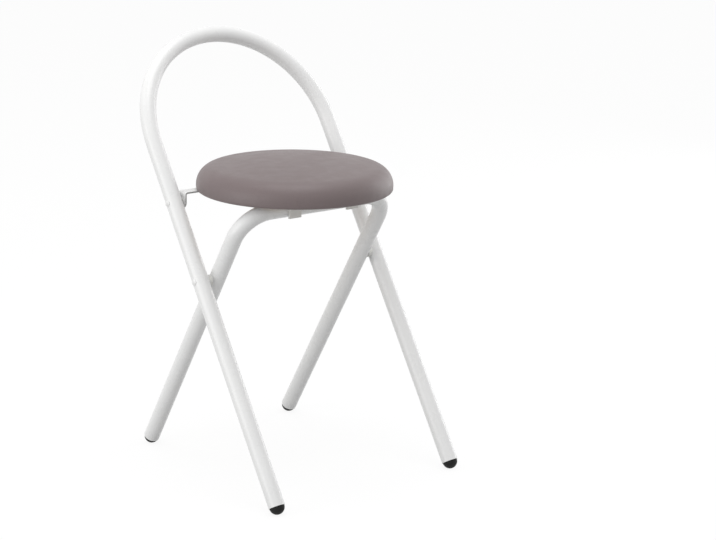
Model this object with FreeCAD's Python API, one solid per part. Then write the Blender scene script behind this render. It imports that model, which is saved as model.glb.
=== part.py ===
import FreeCAD, Part
import math
import os

os.makedirs("parts", exist_ok=True)

# A folding stool with a round padded seat and a hoop-shaped back frame.
# Millimetres and degrees. X runs across the stool, the front faces -Y and +Z is up.
# The floor is z = 0, and the origin lies under the middle of the whole stool.
# The two frames are drawn flat, upright in the XZ plane with their feet at z = 0,
# and are then tilted into their open places.

# Tubes
tube_diameter = 25.0
tube_wall = 1.5

# Back frame: one tube bent into a hoop, whose two ends are the front legs
back_tilt = 32.8
back_straight_length = 594.5
seat_pivot_along_back = 495.5

# Leg frame: one tube bent into a U, whose two ends are the rear legs
leg_tilt = 31.2
crossbar_ahead_of_seat_centre = 57.5
leg_bend_radius = 48.0
frame_side_gap = 5.0

# Seat pad
seat_diameter = 300.0
seat_thickness = 44.4
seat_shoulder_radius = 28.0
seat_side_height = 9.0
seat_lower_roll = 4.0
seat_side_gap = 5.5
seat_centre_ahead_of_pivot = 78.0
board_thickness = 12.0
cover_thickness = 1.0
cover_lip_width = 20.0

# Steel strap that carries the seat between the back frame's tubes
strap_width = 20.0
strap_thickness = 2.5
strap_bend_radius = 2.0
strap_to_tube_gap = 0.9
folded_bar_gap = 0.4
strap_notch_gap = 0.3

# Plastic clips under the seat that drop over the leg frame's crossbar
clip_width = 22.0
clip_spacing = 109.0
clip_wall = 4.0
clip_roof = 1.0
clip_flange_length = 14.0
clip_flange_thickness = 3.5
clip_bar_gap = 0.25
clip_front_reach = 12.0
clip_rear_lip_height = 6.0

# Rivets and washers
rivet_diameter = 6.0
rivet_head_diameter = 10.5
rivet_head_height = 1.8
rivet_tail_diameter = 9.0
rivet_tail_height = 2.0
washer_diameter = 13.0
washer_thickness = 1.0
spacer_diameter = 16.0
running_clearance = 0.05

# Wood screws and staples
screw_diameter = 4.0
screw_length_in_board = 9.0
screw_head_diameter = 7.6
screw_head_height = 2.2
strap_screw_outer_offset = 82.0
strap_screw_inner_offset = 30.0
cross_slot_width = 1.0
cross_slot_length = 4.4
cross_slot_depth = 1.2
staple_count = 22
staple_crown = 10.0
staple_wire = 1.1
staple_leg = 7.0
staple_strap_margin = 6.0

# Rubber feet
foot_radius = 11.5
foot_flat_depth = 0.3
foot_stem_length = 18.0
foot_stem_wall = 2.2
foot_rib_count = 3
foot_rib_height = 0.6
foot_rib_width = 1.6
foot_stem_clearance = 0.1

# Sizes that follow from the ones above
tube_radius = tube_diameter / 2.0
tube_bore_radius = tube_radius - tube_wall
seat_radius = seat_diameter / 2.0
back_half_spacing = seat_radius + seat_side_gap + tube_radius
leg_half_spacing = back_half_spacing - tube_diameter - frame_side_gap
back_inner_face = back_half_spacing - tube_radius
leg_outer_face = leg_half_spacing + tube_radius
rivet_radius = rivet_diameter / 2.0
rivet_hole_radius = rivet_radius + running_clearance

back_sin = math.sin(math.radians(back_tilt))
back_cos = math.cos(math.radians(back_tilt))
leg_sin = math.sin(math.radians(leg_tilt))
leg_cos = math.cos(math.radians(leg_tilt))

foot_centre_height = foot_radius - foot_flat_depth
back_cut_along = foot_centre_height / back_cos
leg_cut_along = foot_centre_height / leg_cos

# The front legs' axis meets the floor at back_floor_y, chosen so that the stool,
# from the front feet to the back of the hoop, is centred on y = 0.
hoop_top_along = back_straight_length + back_half_spacing
stool_front_offset = back_cut_along * back_sin - foot_radius
stool_back_offset = hoop_top_along * back_sin + tube_radius
back_floor_y = -(stool_front_offset + stool_back_offset) / 2.0

pivot_y = back_floor_y + seat_pivot_along_back * back_sin
pivot_z = seat_pivot_along_back * back_cos

# The folded crossbar lies beside the strap, so the board's underside stands off the
# pivot by the bar, the strap and a gap. The cover's lip hangs below the board.
board_underside_z = pivot_z + tube_radius + strap_thickness + folded_bar_gap
underside_z = board_underside_z - cover_thickness
seat_centre_y = pivot_y - seat_centre_ahead_of_pivot

# The clips set the crossbar's place under the board. The rear legs run down and back
# from it, and cross the front legs where both axes are at the same height.
crossbar_y = seat_centre_y - crossbar_ahead_of_seat_centre
crossbar_z = board_underside_z - clip_roof - clip_bar_gap - tube_radius
crossbar_along_leg = crossbar_z / leg_cos
leg_floor_y = crossbar_y + crossbar_z * leg_sin / leg_cos
crossing_z = (leg_floor_y - back_floor_y) / (back_sin / back_cos + leg_sin / leg_cos)
crossing_along_back = crossing_z / back_cos
crossing_along_leg = crossing_z / leg_cos

X_AXIS = FreeCAD.Vector(1, 0, 0)
Y_AXIS = FreeCAD.Vector(0, 1, 0)
Z_AXIS = FreeCAD.Vector(0, 0, 1)
ORIGIN = FreeCAD.Vector(0, 0, 0)
SIDES = {"left": -1, "right": 1}


def point(x, y, z):
    return FreeCAD.Vector(x, y, z)


def save(shape, name):
    shape.exportStep("parts/" + name + ".step")


def stand_back_frame(shape):
    """Tilt a shape drawn in the flat back frame to its open place."""
    placed = shape.copy()
    placed.rotate(ORIGIN, X_AXIS, -back_tilt)
    placed.translate(point(0, back_floor_y, 0))
    return placed


def stand_leg_frame(shape):
    """Tilt a shape drawn in the flat leg frame to its open place."""
    placed = shape.copy()
    placed.rotate(ORIGIN, X_AXIS, leg_tilt)
    placed.translate(point(0, leg_floor_y, 0))
    return placed


def rod_along_x(radius, x_start, x_end, y=0.0, z=0.0):
    """Cylinder whose axis is parallel to X."""
    start = point(min(x_start, x_end), y, z)
    return Part.makeCylinder(radius, abs(x_end - x_start), start, X_AXIS)


def ring_along_x(outer_radius, inner_radius, x_start, x_end, y=0.0, z=0.0):
    """Flat ring or sleeve whose axis is parallel to X."""
    body = rod_along_x(outer_radius, x_start, x_end, y, z)
    return body.cut(rod_along_x(inner_radius, x_start, x_end, y, z))


def disc(radius, centre, direction):
    return Part.Face(Part.Wire(Part.makeCircle(radius, centre, direction)))


def join(pieces):
    return pieces[0].multiFuse(pieces[1:]).removeSplitter()


# Frames

def back_frame_rod(radius):
    """Two straight front legs joined by a half-circle hoop, as a solid rod."""
    pieces = []
    straight = Z_AXIS * (back_straight_length - back_cut_along)
    for side in SIDES.values():
        foot_end = point(side * back_half_spacing, 0, back_cut_along)
        pieces.append(disc(radius, foot_end, Z_AXIS).extrude(straight))
    spring = point(back_half_spacing, 0, back_straight_length)
    hoop_centre = point(0, 0, back_straight_length)
    pieces.append(disc(radius, spring, Z_AXIS).revolve(hoop_centre, Y_AXIS, -180))
    return join(pieces)


def back_frame_tube():
    """Hollow back frame with a rivet hole right through at each pivot."""
    tube = back_frame_rod(tube_radius).cut(back_frame_rod(tube_bore_radius))
    outside = back_half_spacing + tube_radius + 1
    for along in (crossing_along_back, seat_pivot_along_back):
        tube = tube.cut(rod_along_x(rivet_hole_radius, -outside, outside, z=along))
    return stand_back_frame(tube)


def leg_frame_rod(radius):
    """Two rear legs joined by a crossbar through quarter-circle bends, as a solid rod."""
    pieces = []
    bend_start = crossbar_along_leg - leg_bend_radius
    bar_half_length = leg_half_spacing - leg_bend_radius
    for side in SIDES.values():
        foot_end = point(side * leg_half_spacing, 0, leg_cut_along)
        leg_end = point(side * leg_half_spacing, 0, bend_start)
        bend_centre = point(side * bar_half_length, 0, bend_start)
        pieces.append(disc(radius, foot_end, Z_AXIS).extrude(leg_end - foot_end))
        pieces.append(disc(radius, leg_end, Z_AXIS).revolve(bend_centre, Y_AXIS, -90 * side))
    pieces.append(rod_along_x(radius, -bar_half_length, bar_half_length, z=crossbar_along_leg))
    return join(pieces)


def leg_frame_tube():
    """Hollow leg frame with a rivet hole in the outer side of each leg at the crossing."""
    tube = leg_frame_rod(tube_radius).cut(leg_frame_rod(tube_bore_radius))
    for side in SIDES.values():
        hole = rod_along_x(rivet_hole_radius, side * leg_half_spacing,
                           side * (leg_outer_face + 1), z=crossing_along_leg)
        tube = tube.cut(hole)
    return stand_leg_frame(tube)


# Rubber feet

def foot_plug(x, cut_along):
    """Domed rubber plug with a ribbed hollow stem that is pushed into the tube's end."""
    base = point(x, 0, cut_along)
    dome = Part.makeSphere(foot_radius, base)
    lower_half = Part.makeBox(4 * foot_radius, 4 * foot_radius, 2 * foot_radius)
    lower_half.translate(base - point(2 * foot_radius, 2 * foot_radius, 2 * foot_radius))
    dome = dome.common(lower_half)
    rib_radius = tube_bore_radius - foot_stem_clearance
    stem_radius = rib_radius - foot_rib_height
    stem = Part.makeCylinder(stem_radius, foot_stem_length, base, Z_AXIS)
    rib_pitch = foot_stem_length / (foot_rib_count + 1)
    for number in range(foot_rib_count):
        rib_base = base + Z_AXIS * (rib_pitch * (number + 1) - foot_rib_width / 2)
        stem = stem.fuse(Part.makeCylinder(rib_radius, foot_rib_width, rib_base, Z_AXIS))
    hollow = Part.makeCylinder(stem_radius - foot_stem_wall, foot_stem_length, base, Z_AXIS)
    return dome.fuse(stem.cut(hollow)).removeSplitter()


def cut_flat_on_floor(shape):
    """Take off what reaches below the floor."""
    box = shape.BoundBox
    below = Part.makeBox(box.XLength + 2, box.YLength + 2, abs(box.ZMin) + 2)
    below.translate(point(box.XMin - 1, box.YMin - 1, -abs(box.ZMin) - 2))
    return shape.cut(below)


def front_foot(side):
    return cut_flat_on_floor(stand_back_frame(foot_plug(side * back_half_spacing, back_cut_along)))


def rear_foot(side):
    return cut_flat_on_floor(stand_leg_frame(foot_plug(side * leg_half_spacing, leg_cut_along)))


# Rivets, washers and spacers at the two pivots

def rivet(side, along, tail_face):
    """Rivet through a back tube, with a domed head outside and its tail at tail_face."""
    outer_face = back_half_spacing + tube_radius
    head_rim = math.sqrt(tube_radius ** 2 - (rivet_head_diameter / 2) ** 2)
    head_start = back_half_spacing + head_rim
    head_end = outer_face + rivet_head_height
    skirt = rod_along_x(rivet_head_diameter / 2, head_start, outer_face)
    cap_radius = ((rivet_head_diameter / 2) ** 2 + rivet_head_height ** 2) / (2 * rivet_head_height)
    cap = Part.makeSphere(cap_radius, point(head_end - cap_radius, 0, 0))
    cap = cap.common(rod_along_x(rivet_head_diameter / 2, outer_face, head_end))
    tube_clear = Part.makeCylinder(tube_radius + running_clearance, 4 * tube_radius,
                                   point(back_half_spacing, 0, -2 * tube_radius), Z_AXIS)
    head = skirt.fuse(cap).cut(tube_clear)
    shank = rod_along_x(rivet_radius, tail_face, outer_face + rivet_head_height / 2)
    tail = Part.makeCone(rivet_tail_diameter / 2, rivet_radius, rivet_tail_height,
                         point(tail_face, 0, 0), X_AXIS * -1)
    whole = head.multiFuse([shank, tail]).removeSplitter()
    if side < 0:
        whole = whole.mirror(ORIGIN, X_AXIS)
    whole.translate(point(0, 0, along))
    return stand_back_frame(whole)


# The leg rivets' tails are set inside the leg tubes, against the bore.
leg_tail_face = (leg_half_spacing - running_clearance
                 + math.sqrt(tube_bore_radius ** 2 - (rivet_tail_diameter / 2) ** 2))
ear_outer_face = back_inner_face - strap_to_tube_gap
ear_inner_face = ear_outer_face - strap_thickness
seat_washer_outer = ear_inner_face - running_clearance
seat_tail_face = seat_washer_outer - washer_thickness


def leg_pivot_rivet(side):
    """Rivet through the back tube and the spacer into the leg tube."""
    return rivet(side, crossing_along_back, leg_tail_face)


def leg_pivot_spacer(side):
    """Nylon sleeve between the two tubes, hollowed to sit on the back tube."""
    start = leg_outer_face + running_clearance
    sleeve = ring_along_x(spacer_diameter / 2, rivet_hole_radius, start, back_half_spacing)
    seat = Part.makeCylinder(tube_radius, 4 * tube_radius,
                             point(back_half_spacing, 0, -2 * tube_radius), Z_AXIS)
    sleeve = sleeve.cut(seat)
    if side < 0:
        sleeve = sleeve.mirror(ORIGIN, X_AXIS)
    sleeve.translate(point(0, 0, crossing_along_back))
    return stand_back_frame(sleeve)


def seat_pivot_rivet(side):
    """Rivet through the back tube and the ear of the strap."""
    return rivet(side, seat_pivot_along_back, seat_tail_face)


def seat_pivot_bush(side):
    """Thin nylon washer between the back tube and the ear of the strap."""
    return ring_along_x(washer_diameter / 2, rivet_hole_radius,
                        side * (ear_outer_face + running_clearance),
                        side * (back_inner_face - running_clearance), pivot_y, pivot_z)


def seat_pivot_washer(side):
    """Steel washer between the ear and the rivet's tail."""
    return ring_along_x(washer_diameter / 2, rivet_hole_radius,
                        side * seat_tail_face, side * seat_washer_outer, pivot_y, pivot_z)


# Seat strap

def strap_screw_places():
    places = []
    for offset in (strap_screw_inner_offset, strap_screw_outer_offset):
        places.append((-offset, pivot_y))
        places.append((offset, pivot_y))
    return places


def screw_shape(x, y, head_face_z, tip_z, clearance=0.0):
    """Countersunk screw with its flat head facing down at head_face_z."""
    head = Part.makeCone(screw_head_diameter / 2 + clearance, screw_diameter / 2 + clearance,
                         screw_head_height, point(x, y, head_face_z), Z_AXIS)
    shank = Part.makeCylinder(screw_diameter / 2 + clearance, tip_z - head_face_z,
                              point(x, y, head_face_z), Z_AXIS)
    return head.fuse(shank)


def seat_strap():
    """Flat bar under the seat, bent down at both ends into rounded, pierced ears."""
    top = board_underside_z
    bottom = top - strap_thickness
    outer_bend = strap_bend_radius + strap_thickness
    bar_half = ear_outer_face - outer_bend
    depth = Y_AXIS * strap_width
    edge_y = pivot_y - strap_width / 2
    ear_end_z = pivot_z
    bend_z = top - outer_bend
    lean = math.sqrt(0.5)
    outline = []
    for side in (1, -1):
        bend_x = side * bar_half
        outer_mid = point(bend_x + side * outer_bend * lean, edge_y, bend_z + outer_bend * lean)
        inner_mid = point(bend_x + side * strap_bend_radius * lean, edge_y,
                          bend_z + strap_bend_radius * lean)
        outer_top = point(bend_x, edge_y, top)
        outer_side = point(side * ear_outer_face, edge_y, bend_z)
        inner_top = point(bend_x, edge_y, bottom)
        inner_side = point(side * ear_inner_face, edge_y, bend_z)
        tip_outer = point(side * ear_outer_face, edge_y, ear_end_z)
        tip_inner = point(side * ear_inner_face, edge_y, ear_end_z)
        outline.append(Part.Arc(outer_top, outer_mid, outer_side).toShape())
        outline.append(Part.makeLine(outer_side, tip_outer))
        outline.append(Part.makeLine(tip_outer, tip_inner))
        outline.append(Part.makeLine(tip_inner, inner_side))
        outline.append(Part.Arc(inner_side, inner_mid, inner_top).toShape())
    outline.append(Part.makeLine(point(bar_half, edge_y, top), point(-bar_half, edge_y, top)))
    outline.append(Part.makeLine(point(bar_half, edge_y, bottom),
                                 point(-bar_half, edge_y, bottom)))
    wire = Part.Wire(Part.__sortEdges__(outline))
    strap = Part.Face(wire).extrude(depth)
    for side in SIDES.values():
        round_end = rod_along_x(strap_width / 2, side * ear_inner_face, side * ear_outer_face,
                                pivot_y, pivot_z)
        strap = strap.fuse(round_end)
    strap = strap.removeSplitter()
    reach = back_half_spacing
    strap = strap.cut(rod_along_x(rivet_hole_radius, -reach, reach, pivot_y, pivot_z))
    for x, y in strap_screw_places():
        strap = strap.cut(screw_shape(x, y, bottom, top + 1, running_clearance))
    return strap


def strap_screws():
    """Four flush wood screws that hold the strap to the board."""
    bottom = board_underside_z - strap_thickness
    tip = board_underside_z + screw_length_in_board
    screws = []
    for x, y in strap_screw_places():
        screws.append(cross_slotted(screw_shape(x, y, bottom, tip), x, y, bottom))
    return Part.makeCompound(screws)


def cross_slotted(screw, x, y, face_z):
    """Cut the cross recess into a screw head that faces down."""
    half_length = cross_slot_length / 2
    half_width = cross_slot_width / 2
    first = Part.makeBox(cross_slot_length, cross_slot_width, cross_slot_depth,
                         point(x - half_length, y - half_width, face_z))
    second = Part.makeBox(cross_slot_width, cross_slot_length, cross_slot_depth,
                          point(x - half_width, y - half_length, face_z))
    return screw.cut(first.fuse(second))


# Seat pad

def pad_profile(inset):
    """Half section of the pad, drawn in from its outer surface by inset."""
    radius = seat_radius - inset
    height = seat_thickness - inset
    shoulder = seat_shoulder_radius - inset
    roll = seat_lower_roll - inset
    side_x = seat_radius - seat_shoulder_radius
    above_side = height - seat_side_height
    crown_radius = (side_x ** 2 + above_side ** 2 - shoulder ** 2) / (2 * (above_side - shoulder))
    crown_angle = math.atan2(side_x, crown_radius - above_side)
    lean = math.sqrt(0.5)

    def at(x, z):
        return point(x, seat_centre_y, underside_z + z)

    def on_crown(angle):
        return at(crown_radius * math.sin(angle),
                  height - crown_radius + crown_radius * math.cos(angle))

    def on_shoulder(angle):
        return at(side_x + shoulder * math.sin(angle),
                  seat_side_height + shoulder * math.cos(angle))

    apex = at(0, height)
    side_top = at(radius, seat_side_height)
    side_bottom = at(radius, seat_lower_roll)
    roll_centre = radius - roll
    roll_mid = at(roll_centre + roll * lean, seat_lower_roll - roll * lean)
    roll_end = at(roll_centre, inset)
    base = at(0, inset)
    shoulder_mid = on_shoulder((crown_angle + math.pi / 2) / 2)
    edges = [
        Part.Arc(apex, on_crown(crown_angle / 2), on_crown(crown_angle)).toShape(),
        Part.Arc(on_crown(crown_angle), shoulder_mid, side_top).toShape(),
        Part.makeLine(side_top, side_bottom),
        Part.Arc(side_bottom, roll_mid, roll_end).toShape(),
        Part.makeLine(roll_end, base),
        Part.makeLine(base, apex),
    ]
    return Part.Face(Part.Wire(edges))


def pad_form(inset):
    """Round solid with the pad's crown, shoulder and drawn-in lower edge."""
    return pad_profile(inset).revolve(point(0, seat_centre_y, 0), Z_AXIS, 360)


def disc_between(radius, low, high):
    base = point(0, seat_centre_y, low)
    return Part.makeCylinder(radius, high - low, base, Z_AXIS)


def pad_inside():
    return pad_form(cover_thickness)


def seat_board():
    """Plywood disc that the cover is pulled round, with its pilot holes."""
    board_top = board_underside_z + board_thickness
    board = pad_inside().common(disc_between(seat_diameter, board_underside_z, board_top))
    holes = [pilot_hole(x, y) for x, y in strap_screw_places() + clip_screw_places()]
    return board.cut(Part.makeCompound(holes + staple_pilots()))


def pilot_hole(x, y):
    return Part.makeCylinder(screw_diameter / 2, screw_length_in_board,
                             point(x, y, board_underside_z), Z_AXIS)


def seat_foam():
    """Crowned foam pad on top of the board."""
    board_top = board_underside_z + board_thickness
    return pad_inside().common(disc_between(seat_diameter, board_top, underside_z + seat_thickness))


def seat_cover():
    """Vinyl skin over foam and board, turned under as a flat lip with room for the strap."""
    skin = pad_form(0).cut(pad_inside())
    lip_inner_radius = seat_radius - seat_lower_roll - cover_lip_width
    skin = skin.cut(disc_between(lip_inner_radius, underside_z - 1, board_underside_z + 0.01))
    notch_width = strap_width + 2 * strap_notch_gap
    notch = Part.makeBox(2 * seat_diameter, notch_width, 2 * cover_thickness,
                         point(-seat_diameter, pivot_y - notch_width / 2,
                               board_underside_z - 2 * cover_thickness))
    return skin.cut(notch).cut(Part.makeCompound(staple_pilots()))


def staple_angles():
    """Even places round the lip, leaving out those that the strap covers."""
    lip_radius = seat_radius - seat_lower_roll - cover_lip_width / 2
    clear = strap_width / 2 + staple_strap_margin
    angles = []
    for number in range(staple_count):
        angle = 2 * math.pi * (number + 0.5) / staple_count
        if abs(lip_radius * math.sin(angle) - seat_centre_ahead_of_pivot) > clear:
            angles.append(angle)
    return lip_radius, angles


def staple_leg_points():
    """Feet of the staple legs, in pairs along the lip."""
    lip_radius, angles = staple_angles()
    half = (staple_crown - staple_wire) / 2
    pairs = []
    for angle in angles:
        centre_x = lip_radius * math.cos(angle)
        centre_y = seat_centre_y + lip_radius * math.sin(angle)
        along_x = -math.sin(angle) * half
        along_y = math.cos(angle) * half
        pairs.append(((centre_x - along_x, centre_y - along_y),
                      (centre_x + along_x, centre_y + along_y)))
    return pairs


def staple_pilots():
    """Room for the staple legs in the lip and the board."""
    holes = []
    for pair in staple_leg_points():
        for x, y in pair:
            holes.append(Part.makeCylinder(staple_wire / 2, staple_leg,
                                           point(x, y, underside_z), Z_AXIS))
    return holes


def cover_staples():
    """Wire staples that hold the lip to the board."""
    crown_z = underside_z - staple_wire / 2
    staples = []
    for first, second in staple_leg_points():
        start = point(first[0], first[1], crown_z)
        end = point(second[0], second[1], crown_z)
        length = (end - start).Length
        crown = Part.makeCylinder(staple_wire / 2, length, start, end - start)
        pieces = [crown]
        for corner in (start, end):
            pieces.append(Part.makeSphere(staple_wire / 2, corner))
            pieces.append(Part.makeCylinder(staple_wire / 2, staple_leg + staple_wire / 2,
                                            corner, Z_AXIS))
        staples.append(pieces[0].multiFuse(pieces[1:]).removeSplitter())
    return Part.makeCompound(staples)


# Crossbar clips

def clip_screw_places():
    reach = tube_radius + clip_bar_gap + clip_wall + clip_flange_length / 2
    places = []
    for side in SIDES.values():
        for direction in (-1, 1):
            places.append((side * clip_spacing / 2, crossbar_y + direction * reach))
    return places


def seat_clip(side):
    """Moulded hook that holds the crossbar: long front arm, short rear lip, two flanges."""
    x_low = side * clip_spacing / 2 - clip_width / 2
    channel_radius = tube_radius + clip_bar_gap
    outer = channel_radius + clip_wall
    top = board_underside_z
    front_y = crossbar_y - outer
    rear_y = crossbar_y + outer
    front_bottom = crossbar_z - clip_front_reach
    rear_bottom = crossbar_z + clip_rear_lip_height
    front_block = Part.makeBox(clip_width, outer, top - front_bottom,
                               point(x_low, front_y, front_bottom))
    rear_block = Part.makeBox(clip_width, outer, top - rear_bottom,
                              point(x_low, crossbar_y, rear_bottom))
    flange_length = 2 * (outer + clip_flange_length)
    flange = Part.makeBox(clip_width, flange_length, clip_flange_thickness,
                          point(x_low, crossbar_y - flange_length / 2,
                                top - clip_flange_thickness))
    clip = front_block.multiFuse([rear_block, flange])
    channel = rod_along_x(channel_radius, x_low - 1, x_low + clip_width + 1, crossbar_y, crossbar_z)
    below = Part.makeBox(clip_width + 2, 2 * channel_radius, 2 * outer,
                         point(x_low - 1, crossbar_y - channel_radius, crossbar_z - 2 * outer))
    clip = clip.cut(channel.fuse(below)).removeSplitter()
    clip = clip.makeFillet(clip_wall / 4, clip_corner_edges(clip, front_y, front_bottom))
    for x, y in clip_screw_places():
        if x * side > 0:
            head_face = top - clip_flange_thickness
            clip = clip.cut(screw_shape(x, y, head_face, top + 1, running_clearance))
    return clip


def clip_corner_edges(clip, front_y, front_bottom):
    """The upright and bottom outer edges of the front arm."""
    chosen = []
    for edge in clip.Edges:
        box = edge.BoundBox
        on_front = abs(box.YMin - front_y) < 0.01 and abs(box.YMax - front_y) < 0.01
        if on_front and box.ZMin < front_bottom + 1 and box.ZMax < board_underside_z - 1:
            chosen.append(edge)
    return chosen


def clip_screws():
    """Two flush wood screws through each clip into the board."""
    head_face = board_underside_z - clip_flange_thickness
    tip = board_underside_z + screw_length_in_board
    screws = []
    for x, y in clip_screw_places():
        screws.append(cross_slotted(screw_shape(x, y, head_face, tip), x, y, head_face))
    return Part.makeCompound(screws)


save(back_frame_tube(), "back_frame_tube")
save(leg_frame_tube(), "leg_frame_tube")
save(seat_strap(), "seat_strap")
save(seat_board(), "seat_board")
save(seat_foam(), "seat_foam")
save(seat_cover(), "seat_cover")
save(cover_staples(), "cover_staples")
save(strap_screws(), "strap_screws")
save(clip_screws(), "clip_screws")
for side_name, side_sign in SIDES.items():
    save(front_foot(side_sign), "front_foot_" + side_name)
    save(rear_foot(side_sign), "rear_foot_" + side_name)
    save(leg_pivot_rivet(side_sign), "leg_pivot_rivet_" + side_name)
    save(leg_pivot_spacer(side_sign), "leg_pivot_spacer_" + side_name)
    save(seat_pivot_rivet(side_sign), "seat_pivot_rivet_" + side_name)
    save(seat_pivot_bush(side_sign), "seat_pivot_bush_" + side_name)
    save(seat_pivot_washer(side_sign), "seat_pivot_washer_" + side_name)
    save(seat_clip(side_sign), "seat_clip_" + side_name)
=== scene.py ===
import bpy
import math
from mathutils import Matrix, Vector, noise


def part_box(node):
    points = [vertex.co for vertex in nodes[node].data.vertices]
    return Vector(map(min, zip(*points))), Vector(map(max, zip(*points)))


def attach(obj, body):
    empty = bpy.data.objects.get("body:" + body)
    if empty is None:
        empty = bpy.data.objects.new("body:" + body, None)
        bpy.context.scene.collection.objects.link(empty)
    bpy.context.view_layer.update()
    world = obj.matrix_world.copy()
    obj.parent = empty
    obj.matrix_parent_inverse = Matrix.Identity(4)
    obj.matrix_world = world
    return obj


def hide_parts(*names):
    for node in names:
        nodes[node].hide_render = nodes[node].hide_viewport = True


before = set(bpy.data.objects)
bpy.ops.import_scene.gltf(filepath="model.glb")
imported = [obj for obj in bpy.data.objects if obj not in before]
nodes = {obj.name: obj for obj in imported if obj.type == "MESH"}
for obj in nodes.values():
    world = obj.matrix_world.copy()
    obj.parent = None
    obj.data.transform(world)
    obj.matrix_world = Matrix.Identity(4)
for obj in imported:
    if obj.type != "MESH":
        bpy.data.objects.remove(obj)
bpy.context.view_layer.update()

# Camera
# Stands in front of the stool, to the left as one faces it and a little above the seat,
# with a long lens. The stool is left of the middle of the picture, hence the sideways shift.
camera_turn = math.radians(-37.82)
camera_height_angle = math.radians(14.34)
camera_roll = math.radians(0.63)
camera_distance = 3.189
camera_aim = Vector((0.0304, 0.0035, 0.2941))
picture_width_px = 716
focal_length_px = 2052
sideways_shift_px = 58
sensor_width_mm = 36
farthest_seen = 50

camera_turned = (Matrix.Rotation(camera_turn, 4, "Z")
                 @ Matrix.Rotation(math.pi / 2 - camera_height_angle, 4, "X")
                 @ Matrix.Rotation(camera_roll, 4, "Z"))
camera_place = camera_aim + camera_turned @ Vector((0, 0, camera_distance))
bpy.ops.object.camera_add()
camera = bpy.context.object
camera.name = "camera"
camera.matrix_world = Matrix.Translation(camera_place) @ camera_turned
camera.data.sensor_width = sensor_width_mm
camera.data.lens = focal_length_px / picture_width_px * sensor_width_mm
camera.data.shift_x = sideways_shift_px / picture_width_px
camera.data.clip_end = farthest_seen
bpy.context.scene.camera = camera
bpy.context.scene.view_settings.view_transform = "Standard"

# Studio
# A white sweep: a wide pale floor, white all round, a broad soft lamp on either side at
# about the seat's height, the left one stronger, and one overhead. The floor keeps the
# stool's shadow.


def fresh_material(name):
    """New node material that holds only a Principled shader, joined to the output."""
    material = bpy.data.materials.new(name)
    material.use_nodes = True
    tree = material.node_tree
    tree.nodes.clear()
    output = tree.nodes.new("ShaderNodeOutputMaterial")
    shader = tree.nodes.new("ShaderNodeBsdfPrincipled")
    tree.links.new(shader.outputs["BSDF"], output.inputs["Surface"])
    return material, tree, shader


def add_node(tree, kind, **settings):
    """New node with its properties set by name."""
    node = tree.nodes.new(kind)
    for name, value in settings.items():
        setattr(node, name, value)
    return node


def seen_directly(tree):
    """1 for camera, mirror and see-through rays, 0 for the rays that carry light."""
    path = add_node(tree, "ShaderNodeLightPath")
    first = add_node(tree, "ShaderNodeMath", operation="MAXIMUM")
    second = add_node(tree, "ShaderNodeMath", operation="MAXIMUM")
    tree.links.new(path.outputs["Is Camera Ray"], first.inputs[0])
    tree.links.new(path.outputs["Is Glossy Ray"], first.inputs[1])
    tree.links.new(first.outputs[0], second.inputs[0])
    tree.links.new(path.outputs["Is Transmission Ray"], second.inputs[1])
    return second.outputs[0]


floor_size = 16.0
floor_white_share = 0.9
floor_bounce = 0.42
surround_light = 0.72
pure_white = (1, 1, 1, 1)
lamps_aim_at = Vector((0, 0, 0.35))

bpy.ops.object.select_all(action="DESELECT")
bpy.ops.mesh.primitive_plane_add(size=floor_size, location=(0, 0, 0))
floor = bpy.context.object
floor.name = "studio_floor"
floor_paper, tree, shader = fresh_material("floor_paper")
shader.inputs["Roughness"].default_value = 0.9
shader.inputs["Specular IOR Level"].default_value = 0.0
seen = seen_directly(tree)
paper_tone = add_node(tree, "ShaderNodeMix", data_type="RGBA")
paper_tone.inputs["A"].default_value = (floor_bounce, floor_bounce, floor_bounce, 1)
paper_tone.inputs["B"].default_value = pure_white
tree.links.new(seen, paper_tone.inputs["Factor"])
tree.links.new(paper_tone.outputs["Result"], shader.inputs["Base Color"])
white_floor = add_node(tree, "ShaderNodeEmission")
floor_mix = add_node(tree, "ShaderNodeMixShader")
white_share = add_node(tree, "ShaderNodeMath", operation="MULTIPLY")
white_share.inputs[1].default_value = floor_white_share
tree.links.new(seen, white_share.inputs[0])
tree.links.new(white_share.outputs[0], floor_mix.inputs["Fac"])
tree.links.new(shader.outputs["BSDF"], floor_mix.inputs[1])
tree.links.new(white_floor.outputs["Emission"], floor_mix.inputs[2])
tree.links.new(floor_mix.outputs["Shader"], tree.nodes["Material Output"].inputs["Surface"])
floor.data.materials.append(floor_paper)

world = bpy.data.worlds.new("studio")
bpy.context.scene.world = world
world.use_nodes = True
tree = world.node_tree
tree.nodes.clear()
output = add_node(tree, "ShaderNodeOutputWorld")
dim_light = add_node(tree, "ShaderNodeBackground")
dim_light.inputs["Color"].default_value = pure_white
dim_light.inputs["Strength"].default_value = surround_light
white_light = add_node(tree, "ShaderNodeBackground")
white_light.inputs["Color"].default_value = pure_white
world_mix = add_node(tree, "ShaderNodeMixShader")
tree.links.new(seen_directly(tree), world_mix.inputs["Fac"])
tree.links.new(dim_light.outputs["Background"], world_mix.inputs[1])
tree.links.new(white_light.outputs["Background"], world_mix.inputs[2])
tree.links.new(world_mix.outputs["Shader"], output.inputs["Surface"])


def soft_lamp(name, place, size, power):
    """Square soft lamp aimed at the middle of the stool."""
    bpy.ops.object.light_add(type="AREA", location=place)
    lamp = bpy.context.object
    lamp.name = name
    lamp.data.size = size
    lamp.data.energy = power
    aim = lamps_aim_at - Vector(place)
    lamp.rotation_euler = aim.to_track_quat("-Z", "Y").to_euler()


soft_lamp("key_lamp", place=(-2.6, 0.2, 0.8), size=1.8, power=23)
soft_lamp("fill_lamp", place=(2.6, 0.1, 0.8), size=1.8, power=18)
soft_lamp("overhead_lamp", place=(0, -0.1, 3.2), size=2.0, power=30)

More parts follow.
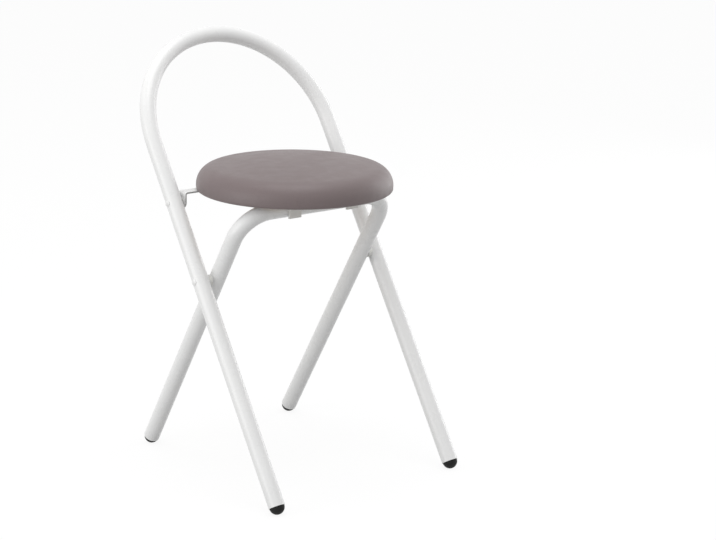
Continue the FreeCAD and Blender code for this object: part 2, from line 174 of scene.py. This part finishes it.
# Back frame and leg frame
# Two bends of round steel tube, 25 mm across: the hoop with its front legs, and the U
# with its rear legs. Both are sprayed white and baked, which leaves a faint orange peel.


def group_with(name, inputs, outputs):
    """Empty shader node group; inputs and outputs are (name, kind) pairs."""
    group = bpy.data.node_groups.new(name, "ShaderNodeTree")
    for label, kind in inputs:
        group.interface.new_socket(name=label, in_out="INPUT", socket_type=kind)
    for label, kind in outputs:
        group.interface.new_socket(name=label, in_out="OUTPUT", socket_type=kind)
    group_in = group.nodes.new("NodeGroupInput")
    group_out = group.nodes.new("NodeGroupOutput")
    return group, group_in, group_out


def noise_in(tree, coordinates, scale, detail=2.0, roughness=0.5):
    """Noise texture on the given coordinates."""
    texture = add_node(tree, "ShaderNodeTexNoise")
    texture.inputs["Scale"].default_value = scale
    texture.inputs["Detail"].default_value = detail
    texture.inputs["Roughness"].default_value = roughness
    tree.links.new(coordinates, texture.inputs["Vector"])
    return texture.outputs["Fac"]


usual_noise_low = 0.3
usual_noise_high = 0.7


def spread(tree, value, low, high):
    """A noise value, which seldom leaves its usual band, stretched to run from low to high."""
    ramp = add_node(tree, "ShaderNodeMapRange")
    ramp.inputs["From Min"].default_value = usual_noise_low
    ramp.inputs["From Max"].default_value = usual_noise_high
    ramp.inputs["To Min"].default_value = low
    ramp.inputs["To Max"].default_value = high
    tree.links.new(value, ramp.inputs["Value"])
    return ramp.outputs["Result"]


def tinted(tree, mask, first, second):
    """Colour that runs from first to second with the mask."""
    mix = add_node(tree, "ShaderNodeMix", data_type="RGBA")
    mix.inputs["A"].default_value = (*first, 1)
    mix.inputs["B"].default_value = (*second, 1)
    tree.links.new(mask, mix.inputs["Factor"])
    return mix.outputs["Result"]


def sprayed_skin_group():
    """Sprayed and baked paint: orange peel in metres, and slow changes of shade and gloss."""
    fine_share = 0.35
    group, group_in, group_out = group_with(
        "sprayed_skin",
        [("Peel Depth", "NodeSocketFloat")],
        [("Shade", "NodeSocketFloat"), ("Gloss", "NodeSocketFloat"),
         ("Height", "NodeSocketFloat")])
    place = add_node(group, "ShaderNodeTexCoord").outputs["Object"]
    coarse = noise_in(group, place, scale=420, detail=1.0)
    fine = noise_in(group, place, scale=1500, detail=2.0)
    shade = noise_in(group, place, scale=14, detail=3.0)
    gloss = noise_in(group, place, scale=55, detail=4.0)
    both = add_node(group, "ShaderNodeMath", operation="MULTIPLY_ADD")
    both.inputs[1].default_value = fine_share
    group.links.new(fine, both.inputs[0])
    group.links.new(coarse, both.inputs[2])
    scaled = add_node(group, "ShaderNodeMath", operation="MULTIPLY")
    group.links.new(both.outputs[0], scaled.inputs[0])
    group.links.new(group_in.outputs["Peel Depth"], scaled.inputs[1])
    group.links.new(shade, group_out.inputs["Shade"])
    group.links.new(gloss, group_out.inputs["Gloss"])
    group.links.new(scaled.outputs[0], group_out.inputs["Height"])
    return group


sprayed_skin = sprayed_skin_group()


def bump_from(tree, height, shader, depth, strength=1.0):
    """Bump into the shader's normal; depth is in metres for each unit of height."""
    bump = add_node(tree, "ShaderNodeBump")
    bump.inputs["Strength"].default_value = strength
    bump.inputs["Distance"].default_value = depth
    tree.links.new(height, bump.inputs["Height"])
    tree.links.new(bump.outputs["Normal"], shader.inputs["Normal"])


def white_paint(name, light, shadow, gloss_low, gloss_high, peel_depth):
    """White stoving paint with its own tone, gloss and orange peel."""
    material, tree, shader = fresh_material(name)
    skin = add_node(tree, "ShaderNodeGroup", node_tree=sprayed_skin)
    skin.inputs["Peel Depth"].default_value = peel_depth
    shade = spread(tree, skin.outputs["Shade"], low=0.0, high=1.0)
    tree.links.new(tinted(tree, shade, light, shadow), shader.inputs["Base Color"])
    gloss = spread(tree, skin.outputs["Gloss"], gloss_low, gloss_high)
    tree.links.new(gloss, shader.inputs["Roughness"])
    bump_from(tree, skin.outputs["Height"], shader, depth=1.0)
    return material


def dress(node_names, material):
    """Give each of these pieces the one material."""
    for name in node_names:
        piece = nodes[name]
        piece.data.materials.clear()
        piece.data.materials.append(material)


frame_paint = white_paint("frame_paint", light=(0.85, 0.85, 0.845), shadow=(0.82, 0.822, 0.82),
                          gloss_low=0.24, gloss_high=0.34, peel_depth=0.000014)
dress(["back_frame_tube", "leg_frame_tube"], frame_paint)

# Rubber feet
# Four domed plugs of black rubber, pushed into the ends of the legs by their ribbed stems.
# They are dull, with a pale bloom, and scuffed grey where they stand on the floor.

scuffed_height = 0.0016
fresh_black = (0.007, 0.007, 0.007)
bloom_black = (0.013, 0.013, 0.013)
scuff_grey = (0.075, 0.072, 0.068)
foot_rubber, tree, shader = fresh_material("foot_rubber")
place = add_node(tree, "ShaderNodeTexCoord").outputs["Object"]
height_split = add_node(tree, "ShaderNodeSeparateXYZ")
tree.links.new(place, height_split.inputs["Vector"])
near_floor = add_node(tree, "ShaderNodeMapRange")
near_floor.inputs["From Min"].default_value = scuffed_height
near_floor.inputs["From Max"].default_value = 0.0
tree.links.new(height_split.outputs["Z"], near_floor.inputs["Value"])
scuff = add_node(tree, "ShaderNodeMath", operation="MULTIPLY")
tree.links.new(near_floor.outputs["Result"], scuff.inputs[0])
scratches = spread(tree, noise_in(tree, place, scale=900, detail=4.0), low=0.0, high=1.0)
tree.links.new(scratches, scuff.inputs[1])
bloom = spread(tree, noise_in(tree, place, scale=160, detail=5.0), low=0.0, high=1.0)
bloomed = tinted(tree, bloom, fresh_black, bloom_black)
scuffed = add_node(tree, "ShaderNodeMix", data_type="RGBA")
scuffed.inputs["B"].default_value = (*scuff_grey, 1)
tree.links.new(bloomed, scuffed.inputs["A"])
tree.links.new(scuff.outputs[0], scuffed.inputs["Factor"])
tree.links.new(scuffed.outputs["Result"], shader.inputs["Base Color"])
dullness = spread(tree, noise_in(tree, place, scale=300, detail=3.0), low=0.5, high=0.66)
tree.links.new(dullness, shader.inputs["Roughness"])
shader.inputs["Specular IOR Level"].default_value = 0.22
bump_from(tree, noise_in(tree, place, scale=2600, detail=3.0), shader, depth=0.00004)
dress(["front_foot_left", "front_foot_right", "rear_foot_left", "rear_foot_right"], foot_rubber)

# Pivots
# Four painted rivets go through the hoop's tubes. Two hold the strap's ears, over steel
# washers. Two pass through nylon sleeves and are set inside the rear legs' tubes.

rivet_paint = white_paint("rivet_paint", light=(0.84, 0.84, 0.835), shadow=(0.79, 0.79, 0.785),
                          gloss_low=0.22, gloss_high=0.34, peel_depth=0.00002)
dress(["leg_pivot_rivet_left", "leg_pivot_rivet_right",
       "seat_pivot_rivet_left", "seat_pivot_rivet_right"], rivet_paint)

turning_mark_stretch = (9.0, 1.0, 1.0)
clear_nylon = (0.8, 0.8, 0.78)
milky_nylon = (0.74, 0.74, 0.71)
turned_nylon, tree, shader = fresh_material("turned_nylon")
place = add_node(tree, "ShaderNodeTexCoord").outputs["Object"]
stretched = add_node(tree, "ShaderNodeMapping")
stretched.inputs["Scale"].default_value = turning_mark_stretch
tree.links.new(place, stretched.inputs["Vector"])
turning_marks = noise_in(tree, stretched.outputs["Vector"], scale=320, detail=2.0)
cloud = spread(tree, noise_in(tree, place, scale=90, detail=4.0), low=0.0, high=1.0)
tree.links.new(tinted(tree, cloud, clear_nylon, milky_nylon), shader.inputs["Base Color"])
dullness = spread(tree, noise_in(tree, place, scale=240, detail=2.0), low=0.38, high=0.5)
tree.links.new(dullness, shader.inputs["Roughness"])
shader.inputs["Subsurface Weight"].default_value = 0.15
shader.inputs["Subsurface Radius"].default_value = (0.002, 0.002, 0.0016)
bump_from(tree, turning_marks, shader, depth=0.00005)
dress(["leg_pivot_spacer_left", "leg_pivot_spacer_right",
       "seat_pivot_bush_left", "seat_pivot_bush_right"], turned_nylon)


def plated_steel_group():
    """Zinc-plated steel: blue and straw clouds, dull patches and fine scratches."""
    blue_zinc = (0.6, 0.61, 0.63)
    straw_zinc = (0.56, 0.54, 0.49)
    group, group_in, group_out = group_with(
        "plated_steel",
        [("Grain Size", "NodeSocketFloat")],
        [("Colour", "NodeSocketColor"), ("Roughness", "NodeSocketFloat"),
         ("Height", "NodeSocketFloat")])
    place = add_node(group, "ShaderNodeTexCoord").outputs["Object"]
    cloud = spread(group, noise_in(group, place, scale=260, detail=3.0), low=0.0, high=1.0)
    colour = tinted(group, cloud, blue_zinc, straw_zinc)
    patch = spread(group, noise_in(group, place, scale=520, detail=4.0), low=0.26, high=0.44)
    scratch = add_node(group, "ShaderNodeTexNoise")
    scratch.inputs["Detail"].default_value = 4.0
    group.links.new(place, scratch.inputs["Vector"])
    group.links.new(group_in.outputs["Grain Size"], scratch.inputs["Scale"])
    group.links.new(colour, group_out.inputs["Colour"])
    group.links.new(patch, group_out.inputs["Roughness"])
    group.links.new(scratch.outputs["Fac"], group_out.inputs["Height"])
    return group


plated_steel = plated_steel_group()


def bright_steel(name, grain_size, depth):
    """Plated steel with its own grain."""
    material, tree, shader = fresh_material(name)
    skin = add_node(tree, "ShaderNodeGroup", node_tree=plated_steel)
    skin.inputs["Grain Size"].default_value = grain_size
    tree.links.new(skin.outputs["Colour"], shader.inputs["Base Color"])
    tree.links.new(skin.outputs["Roughness"], shader.inputs["Roughness"])
    shader.inputs["Metallic"].default_value = 1.0
    bump_from(tree, skin.outputs["Height"], shader, depth)
    return material


washer_steel = bright_steel("washer_steel", grain_size=1400, depth=0.00002)
dress(["seat_pivot_washer_left", "seat_pivot_washer_right"], washer_steel)

# Seat board
# A disc of birch plywood, 12 mm thick, that the cover is pulled round. Only its underside
# shows, bare and sanded, inside the cover's lip.

veneer_count = 8
grain_stretch = (0.06, 1.0, 0.4)
pale_birch = (0.6, 0.43, 0.26)
dark_birch = (0.42, 0.27, 0.145)
end_grain_brown = (0.25, 0.15, 0.08)
board_low, board_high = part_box("seat_board")
board_plywood, tree, shader = fresh_material("board_plywood")
place = add_node(tree, "ShaderNodeTexCoord").outputs["Object"]
along_grain = add_node(tree, "ShaderNodeMapping")
along_grain.inputs["Scale"].default_value = grain_stretch
tree.links.new(place, along_grain.inputs["Vector"])
grain_place = along_grain.outputs["Vector"]
figure = add_node(tree, "ShaderNodeTexWave", wave_type="BANDS", bands_direction="Y")
figure.inputs["Scale"].default_value = 16
figure.inputs["Distortion"].default_value = 9
figure.inputs["Detail"].default_value = 3
figure.inputs["Detail Scale"].default_value = 1.6
tree.links.new(grain_place, figure.inputs["Vector"])
fibre = noise_in(tree, grain_place, scale=900, detail=4.0, roughness=0.6)
wood_mask = add_node(tree, "ShaderNodeMath", operation="MULTIPLY_ADD")
wood_mask.inputs[1].default_value = 0.4
tree.links.new(figure.outputs["Fac"], wood_mask.inputs[0])
tree.links.new(spread(tree, fibre, low=0.0, high=0.6), wood_mask.inputs[2])
wood_colour = tinted(tree, wood_mask.outputs[0], pale_birch, dark_birch)
height_split = add_node(tree, "ShaderNodeSeparateXYZ")
tree.links.new(place, height_split.inputs["Vector"])
veneer = add_node(tree, "ShaderNodeMath", operation="MULTIPLY")
veneer.inputs[1].default_value = veneer_count * math.pi / (board_high.z - board_low.z)
tree.links.new(height_split.outputs["Z"], veneer.inputs[0])
veneer_band = add_node(tree, "ShaderNodeMath", operation="SINE")
tree.links.new(veneer.outputs[0], veneer_band.inputs[0])
facing = add_node(tree, "ShaderNodeTexCoord")
facing_split = add_node(tree, "ShaderNodeSeparateXYZ")
tree.links.new(facing.outputs["Normal"], facing_split.inputs["Vector"])
flat_face = add_node(tree, "ShaderNodeMath", operation="ABSOLUTE")
tree.links.new(facing_split.outputs["Z"], flat_face.inputs[0])
on_edge = add_node(tree, "ShaderNodeMath", operation="SUBTRACT")
on_edge.inputs[0].default_value = 1.0
tree.links.new(flat_face.outputs[0], on_edge.inputs[1])
dark_veneer = add_node(tree, "ShaderNodeMath", operation="MULTIPLY")
tree.links.new(on_edge.outputs[0], dark_veneer.inputs[0])
tree.links.new(veneer_band.outputs[0], dark_veneer.inputs[1])
layered = add_node(tree, "ShaderNodeMix", data_type="RGBA")
layered.inputs["B"].default_value = (*end_grain_brown, 1)
tree.links.new(wood_colour, layered.inputs["A"])
tree.links.new(dark_veneer.outputs[0], layered.inputs["Factor"])
tree.links.new(layered.outputs["Result"], shader.inputs["Base Color"])
tree.links.new(spread(tree, fibre, low=0.55, high=0.72), shader.inputs["Roughness"])
bump_from(tree, fibre, shader, depth=0.00012)
dress(["seat_board"], board_plywood)

# Padded seat
# A crowned foam pad under grey-brown vinyl, which is pulled tight round the board's edge
# and turned under it as a lip, gathered in small pleats between the staples.

cover_low, cover_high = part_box("seat_cover")
pad_middle = Vector(((cover_low.x + cover_high.x) / 2, (cover_low.y + cover_high.y) / 2, 0))
pad_radius = (cover_high.x - cover_low.x) / 2
pad_base = cover_low.z
pad_thickness = cover_high.z - cover_low.z
vinyl_thickness = board_low.z - cover_low.z
shoulder_radius = 0.028
side_height = 0.009
lower_roll = 0.004
lip_width = 0.02
lip_inner_radius = pad_radius - lower_roll - lip_width
pocket_height = 0.007
pad_segments = 132


def pad_outline():
    """Radius and height of each ring of the cover, from the lip's inner edge to the crown."""
    side_x = pad_radius - shoulder_radius
    above_side = pad_thickness - side_height
    crown_radius = ((side_x ** 2 + above_side ** 2 - shoulder_radius ** 2)
                    / (2 * (above_side - shoulder_radius)))
    crown_angle = math.atan2(side_x, crown_radius - above_side)
    rings = [(lip_inner_radius, 0.0)]
    lip_outer_radius = pad_radius - lower_roll
    lip_steps = 5
    for step in range(1, lip_steps + 1):
        share = step / lip_steps
        rings.append((lip_inner_radius + share * (lip_outer_radius - lip_inner_radius), 0.0))
    for degrees in (30, 60, 90):
        turn = math.radians(degrees)
        rings.append((lip_outer_radius + lower_roll * math.sin(turn),
                      lower_roll - lower_roll * math.cos(turn)))
    rings.append((pad_radius, side_height))
    shoulder_steps = 9
    for step in range(1, shoulder_steps + 1):
        turn = math.pi / 2 - (math.pi / 2 - crown_angle) * step / shoulder_steps
        rings.append((side_x + shoulder_radius * math.sin(turn),
                      side_height + shoulder_radius * math.cos(turn)))
    crown_steps = 22
    for step in range(1, crown_steps):
        turn = crown_angle * (1 - step / crown_steps)
        rings.append((crown_radius * math.sin(turn),
                      pad_thickness - crown_radius + crown_radius * math.cos(turn)))
    return rings


bpy.ops.object.select_all(action="DESELECT")
bpy.ops.mesh.primitive_circle_add(vertices=pad_segments, radius=lip_inner_radius,
                                  fill_type="NGON",
                                  location=(pad_middle.x, pad_middle.y, pad_base + pocket_height))
padded_seat = bpy.context.object
padded_seat.name = "padded_seat"
bpy.ops.object.transform_apply(location=True, rotation=True, scale=True)
bpy.ops.object.mode_set(mode="EDIT")
bpy.ops.mesh.select_all(action="SELECT")
ring_radius = lip_inner_radius
ring_height = pad_base + pocket_height
for radius, height in pad_outline():
    rise = pad_base + height - ring_height
    bpy.ops.mesh.extrude_edges_move(TRANSFORM_OT_translate={"value": (0, 0, rise)})
    ring_height += rise
    growth = radius / ring_radius
    bpy.ops.transform.resize(value=(growth, growth, 1),
                             center_override=(pad_middle.x, pad_middle.y, ring_height))
    ring_radius = radius
bpy.ops.mesh.extrude_edges_move(
    TRANSFORM_OT_translate={"value": (0, 0, pad_base + pad_thickness - ring_height)})
bpy.ops.mesh.merge(type="CENTER")
bpy.ops.mesh.select_all(action="SELECT")
bpy.ops.mesh.normals_make_consistent(inside=False)
bpy.ops.object.mode_set(mode="OBJECT")


def around_pad(point):
    """Distance from the pad's axis, angle round it, and height above its underside."""
    offset_x = point.x - pad_middle.x
    offset_y = point.y - pad_middle.y
    return math.hypot(offset_x, offset_y), math.atan2(offset_y, offset_x), point.z - pad_base


def eased(value, low, high):
    """0 below low, 1 above high and a smooth step between."""
    share = min(max((value - low) / (high - low), 0.0), 1.0)
    return share * share * (3 - 2 * share)


# The foam pushes the cover out from a slightly smaller start, while the board holds it
# below its own top face. The cloth stops where the drawn pad ends.
swell = 0.003
cloth_frames = 20
give_change = 0.04
give_waves = 14
least_push = 0.94
most_sideways = 0.3
board_top_height = board_high.z - pad_base
held_up_to = board_top_height - 0.004
free_from = board_top_height + 0.012
target = [vertex.co.copy() for vertex in padded_seat.data.vertices]
outward = [vertex.normal.copy() for vertex in padded_seat.data.vertices]
freedom = [eased(around_pad(co)[2], held_up_to, free_from) for co in target]
for vertex, direction, share in zip(padded_seat.data.vertices, outward, freedom):
    vertex.co -= direction * swell * share

held = padded_seat.vertex_groups.new(name="held_by_board")
for number, share in enumerate(freedom):
    held.add([number], 1.0 - share, "REPLACE")
start = [vertex.co.copy() for vertex in padded_seat.data.vertices]
cloth = padded_seat.modifiers.new("vinyl", "CLOTH")
cloth.settings.quality = 6
cloth.settings.tension_stiffness = 30
cloth.settings.compression_stiffness = 30
cloth.settings.bending_stiffness = 2
cloth.settings.use_pressure = True
cloth.settings.uniform_pressure_force = 4
cloth.settings.effector_weights.gravity = 0
cloth.settings.vertex_group_mass = held.name
cloth.point_cache.frame_start = 1
cloth.point_cache.frame_end = cloth_frames
for number in range(1, cloth_frames + 1):
    bpy.context.scene.frame_set(number)
bpy.context.view_layer.objects.active = padded_seat
bpy.ops.object.modifier_apply(modifier=cloth.name)
bpy.context.scene.frame_set(1)
for vertex, before, direction, share in zip(padded_seat.data.vertices, start,
                                            outward, freedom):
    give = 1 + give_change * noise.noise(before * give_waves)
    reach = swell * share * give
    moved = vertex.co - before
    pushed = min(max(moved.dot(direction), least_push * reach), reach)
    sideways = moved - direction * moved.dot(direction)
    if sideways.length > most_sideways * reach:
        sideways = sideways.normalized() * most_sideways * reach
    vertex.co = before + direction * pushed + sideways

bpy.context.view_layer.objects.active = padded_seat
rounding = padded_seat.modifiers.new("rounding", "SUBSURF")
rounding.levels = 1
rounding.render_levels = 1
bpy.ops.object.modifier_apply(modifier=rounding.name)

# Pleats fan out of the lip's inner edge between the staples, and pull at the side a little.
# They wander round the rim, so no two are spaced alike.
pleat_count = 44
pleat_depth = 0.0005
pleat_wander = 2.1
wander_waves = 3
lip_edge_tolerance = 0.001
pucker_depth = 0.00025
pucker_reach_in = 0.006
pucker_bottom = 0.002
pucker_top = 0.02
sharp_beyond = math.radians(40)
for vertex in padded_seat.data.vertices:
    distance, angle, height = around_pad(vertex.co)
    along_rim = Vector((math.cos(angle), math.sin(angle), 0))
    wander = pleat_wander * noise.noise(along_rim * wander_waves)
    fold = max(math.cos(pleat_count * angle + wander), 0.0) ** 2
    on_lip = height < 0.5 * vinyl_thickness and distance > lip_inner_radius - lip_edge_tolerance
    on_side = distance > pad_radius - pucker_reach_in and height < pucker_top
    if on_lip:
        fan = 1 - eased(distance, lip_inner_radius, pad_radius - lower_roll)
        vertex.co.z -= pleat_depth * fan * fold
    elif on_side:
        fade = 1 - eased(height, pucker_bottom, pucker_top)
        vertex.co -= along_rim * pucker_depth * fade * fold

bpy.ops.object.shade_smooth_by_angle(angle=sharp_beyond)


def grained_skin_group():
    """Embossed skin: rounded cells between fine creases, with a softer roll beneath."""
    warp_reach = 0.0012
    crease_width = 0.16
    roll_share = 0.6
    group, group_in, group_out = group_with(
        "grained_skin",
        [("Cells per Metre", "NodeSocketFloat")],
        [("Height", "NodeSocketFloat"), ("Crease", "NodeSocketFloat")])
    place = add_node(group, "ShaderNodeTexCoord").outputs["Object"]
    warp = add_node(group, "ShaderNodeTexNoise")
    warp.inputs["Scale"].default_value = 300
    group.links.new(place, warp.inputs["Vector"])
    shifted = add_node(group, "ShaderNodeVectorMath", operation="MULTIPLY_ADD")
    shifted.inputs[1].default_value = (warp_reach, warp_reach, warp_reach)
    group.links.new(warp.outputs["Color"], shifted.inputs[0])
    group.links.new(place, shifted.inputs[2])
    cells = add_node(group, "ShaderNodeTexVoronoi", feature="DISTANCE_TO_EDGE")
    group.links.new(shifted.outputs["Vector"], cells.inputs["Vector"])
    group.links.new(group_in.outputs["Cells per Metre"], cells.inputs["Scale"])
    crease = add_node(group, "ShaderNodeMapRange", interpolation_type="SMOOTHSTEP")
    crease.inputs["From Min"].default_value = 0.0
    crease.inputs["From Max"].default_value = crease_width
    group.links.new(cells.outputs["Distance"], crease.inputs["Value"])
    roll = noise_in(group, place, scale=240, detail=2.0)
    height = add_node(group, "ShaderNodeMath", operation="MULTIPLY_ADD")
    height.inputs[1].default_value = roll_share
    group.links.new(roll, height.inputs[0])
    group.links.new(crease.outputs["Result"], height.inputs[2])
    group.links.new(height.outputs[0], group_out.inputs["Height"])
    group.links.new(crease.outputs["Result"], group_out.inputs["Crease"])
    return group


grained_skin = grained_skin_group()
taupe = (0.192, 0.151, 0.151)
deeper_taupe = (0.184, 0.145, 0.145)
crease_shade_taupe = (0.148, 0.116, 0.116)
cover_vinyl, tree, shader = fresh_material("cover_vinyl")
skin = add_node(tree, "ShaderNodeGroup", node_tree=grained_skin)
skin.inputs["Cells per Metre"].default_value = 900
place = add_node(tree, "ShaderNodeTexCoord").outputs["Object"]
tone = spread(tree, noise_in(tree, place, scale=11, detail=3.0), low=0.0, high=1.0)
vinyl_tone = tinted(tree, tone, taupe, deeper_taupe)
# The grain's creases get a darker taupe: painted shade in the grooves, on top of the bump's own
# shading.
crease_shaded = add_node(tree, "ShaderNodeMix", data_type="RGBA")
crease_shaded.inputs["A"].default_value = (*crease_shade_taupe, 1)
tree.links.new(vinyl_tone, crease_shaded.inputs["B"])
tree.links.new(skin.outputs["Crease"], crease_shaded.inputs["Factor"])
tree.links.new(crease_shaded.outputs["Result"], shader.inputs["Base Color"])
sheen = spread(tree, noise_in(tree, place, scale=60, detail=3.0), low=0.42, high=0.5)
tree.links.new(sheen, shader.inputs["Roughness"])
bump_from(tree, skin.outputs["Height"], shader, depth=0.00005, strength=0.6)
padded_seat.data.materials.append(cover_vinyl)
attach(padded_seat, "seat")
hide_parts("seat_cover", "seat_foam")

# Staples
# Twenty galvanised wire staples, driven up through the cover's lip into the board. Only
# their crowns show.

staple_steel = bright_steel("staple_steel", grain_size=2600, depth=0.000015)
dress(["cover_staples"], staple_steel)

# Seat strap
# A flat steel bar across the board, bent down at both ends into ears that turn on the
# rivets. It is painted with the frame, and a little duller. The faces of its front and rear
# edges carry a painted shade: a flat grey in place of the white.

edge_shade_grey = (0.43, 0.43, 0.425)
strap_paint = white_paint("strap_paint", light=(0.82, 0.82, 0.815), shadow=(0.78, 0.782, 0.78),
                          gloss_low=0.36, gloss_high=0.46, peel_depth=0.00005)
tree = strap_paint.node_tree
shader = tree.nodes["Principled BSDF"]
full_coat = shader.inputs["Base Color"].links[0].from_socket
facing = add_node(tree, "ShaderNodeTexCoord")
facing_split = add_node(tree, "ShaderNodeSeparateXYZ")
tree.links.new(facing.outputs["Normal"], facing_split.inputs["Vector"])
edge_facing = add_node(tree, "ShaderNodeMath", operation="ABSOLUTE")
tree.links.new(facing_split.outputs["Y"], edge_facing.inputs[0])
# Faces that look to the front or rear are blended to grey: painted shade on the strap's edges.
shade_edge_mask = add_node(tree, "ShaderNodeMapRange")
shade_edge_mask.inputs["From Min"].default_value = 0.5
shade_edge_mask.inputs["From Max"].default_value = 0.9
tree.links.new(edge_facing.outputs[0], shade_edge_mask.inputs["Value"])
edge_shade_mix = add_node(tree, "ShaderNodeMix", data_type="RGBA")
edge_shade_mix.inputs["B"].default_value = (*edge_shade_grey, 1)
tree.links.new(full_coat, edge_shade_mix.inputs["A"])
tree.links.new(shade_edge_mask.outputs["Result"], edge_shade_mix.inputs["Factor"])
tree.links.new(edge_shade_mix.outputs["Result"], shader.inputs["Base Color"])
dress(["seat_strap"], strap_paint)

# Crossbar clips
# Two moulded white plastic hooks screwed under the board, which drop over the crossbar.
# Their faces have the fine matt grain of a spark-eroded mould.

bright_plastic = (0.8, 0.8, 0.785)
dull_plastic = (0.76, 0.76, 0.74)
clip_plastic, tree, shader = fresh_material("clip_plastic")
place = add_node(tree, "ShaderNodeTexCoord").outputs["Object"]
flow = spread(tree, noise_in(tree, place, scale=70, detail=3.0), low=0.0, high=1.0)
tree.links.new(tinted(tree, flow, bright_plastic, dull_plastic), shader.inputs["Base Color"])
dullness = spread(tree, noise_in(tree, place, scale=340, detail=2.0), low=0.4, high=0.5)
tree.links.new(dullness, shader.inputs["Roughness"])
bump_from(tree, noise_in(tree, place, scale=3800, detail=1.0), shader, depth=0.00003)
dress(["seat_clip_left", "seat_clip_right"], clip_plastic)

# Screws
# Countersunk cross-head wood screws, zinc-plated: four through the strap and two through
# each clip, all flush.

screw_steel = bright_steel("screw_steel", grain_size=1800, depth=0.00002)
dress(["strap_screws", "clip_screws"], screw_steel)
